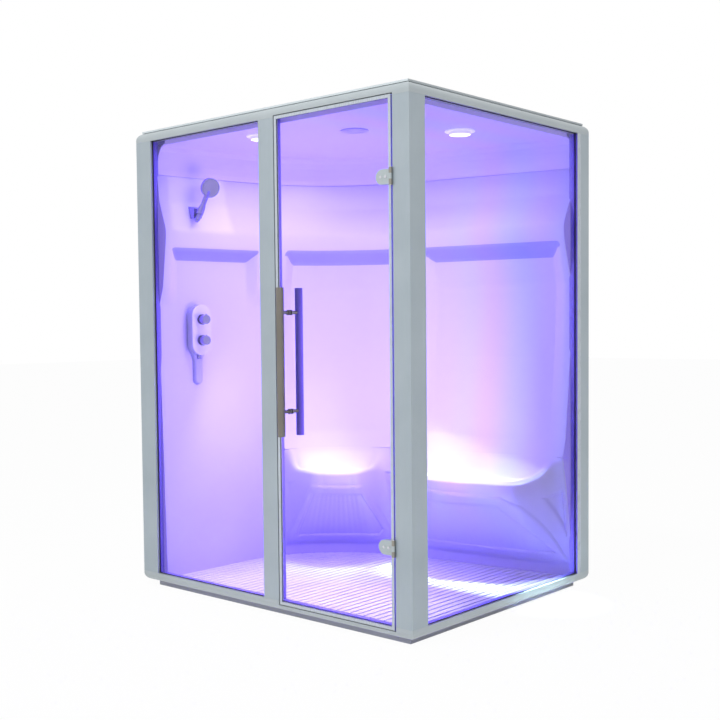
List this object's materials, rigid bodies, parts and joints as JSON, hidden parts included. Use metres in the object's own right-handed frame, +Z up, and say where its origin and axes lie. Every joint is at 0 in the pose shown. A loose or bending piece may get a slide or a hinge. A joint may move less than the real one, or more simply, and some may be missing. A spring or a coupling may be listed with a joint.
{
  "type": "steam sauna cabin",
  "caption": "Free-standing corner steam cabin with aluminium frame, glass front and side, hinged glass door, moulded acrylic bench and walls, shower valve, hand shower and slatted floor.",
  "frame": {"origin": "centre of the whole part's footprint on the floor, the outer door handle included", "axes": "+Z up, -Y towards the door and the front glass, +X towards the side glass"},
  "size_m": [1.6, 1.363, 2.1],
  "materials": {
    "aluminium_satin": "satin anodised",
    "aluminium_bright": "bright anodised",
    "roof_white": "satin paint",
    "panel_white": "satin laminate",
    "plinth_grey": "satin paint",
    "glass_clear": "clear",
    "rubber_dark": "matt",
    "acrylic_white": "gloss",
    "slat_white": "satin",
    "lens_white": "opal, lit",
    "chrome_bright": "polished",
    "steel_brushed": "brushed",
    "brass_bare": "bare",
    "boiler_paint": "powder coat",
    "steel_dark": "matt",
    "bracket_bronze": "brushed"
  },
  "bodies": {
    "cabin": {"plinth": "plinth_grey", "tray": "acrylic_white", "rail_low_front": "aluminium_satin", "rail_low_back": "aluminium_satin", "rail_low_left": "aluminium_satin", "rail_low_right": "aluminium_satin", "rail_top_front": "aluminium_satin", "rail_top_back": "aluminium_satin", "rail_top_left": "aluminium_satin", "rail_top_right": "aluminium_satin", "post_left": "aluminium_satin", "post_middle": "aluminium_satin", "post_near": "aluminium_satin", "post_far": "aluminium_satin", "post_back_left": "aluminium_satin", "side_channel": "aluminium_bright", "roof_panel": "roof_white", "front_glass": "glass_clear", "side_glass": "glass_clear", "gaskets": "rubber_dark", "panel_left": "panel_white", "panel_back": "panel_white", "floor_slats": "slat_white", "slat_bearers": "slat_white", "drain": "chrome_bright", "drain_grate": "chrome_bright", "shower_wall": "acrylic_white", "backrest": "acrylic_white", "bench": "acrylic_white", "ceiling": "acrylic_white", "lamp_housings": "panel_white", "lamp_lenses": "lens_white", "ceiling_vent": "panel_white", "lamp_driver": "steel_dark", "valve_housing": "panel_white", "valve_body": "brass_bare", "valve_rings": "chrome_bright", "hose_outlet": "chrome_bright", "shower_base": "chrome_bright", "steam_outlet": "steel_dark", "steam_pipe": "chrome_bright", "steam_generator": "boiler_paint", "generator_shelf": "plinth_grey", "water_inlets": "brass_bare", "door_stops": "rubber_dark", "hinge_brackets": "bracket_bronze", "hinge_pins": "chrome_bright"},
    "door": {"door_glass": "glass_clear", "door_trim": "aluminium_bright", "hinge_plates": "chrome_bright", "hinge_backs": "chrome_bright", "hinge_screws": "chrome_bright", "handle_outer": "steel_brushed", "handle_inner": "steel_brushed", "handle_caps": "steel_brushed", "handle_studs": "steel_brushed"},
    "temperature_knob": {"knob_high": "chrome_bright"},
    "flow_knob": {"knob_low": "chrome_bright"},
    "shower_holder": {"shower_holder": "chrome_bright"},
    "handset": {"handset": "chrome_bright"}
  },
  "joints": [
    {"name": "door_swing", "type": "hinge", "parent": "cabin", "child": "door", "pos_m": [0.7155, -0.6253, 1.06], "axis": [0, 0, 1], "range_deg": [0, 100]},
    {"name": "temperature_turn", "type": "hinge", "parent": "cabin", "child": "temperature_knob", "pos_m": [-0.61263, -0.3967, 1.2385], "axis": [0.9863, -0.165, 0], "range_deg": [-90, 120]},
    {"name": "flow_turn", "type": "hinge", "parent": "cabin", "child": "flow_knob", "pos_m": [-0.61263, -0.3967, 1.1415], "axis": [0.9863, -0.165, 0], "range_deg": [0, 180]},
    {"name": "holder_swivel", "type": "hinge", "parent": "cabin", "child": "shower_holder", "pos_m": [-0.59686, -0.42367, 1.735], "axis": [0.9863, -0.165, 0], "range_deg": [-20, 40]},
    {"name": "handset_lift", "type": "slide", "parent": "shower_holder", "child": "handset", "axis": [0.0671, 0.4012, 0.9135], "range_m": [0, 0.06]}
  ]
}
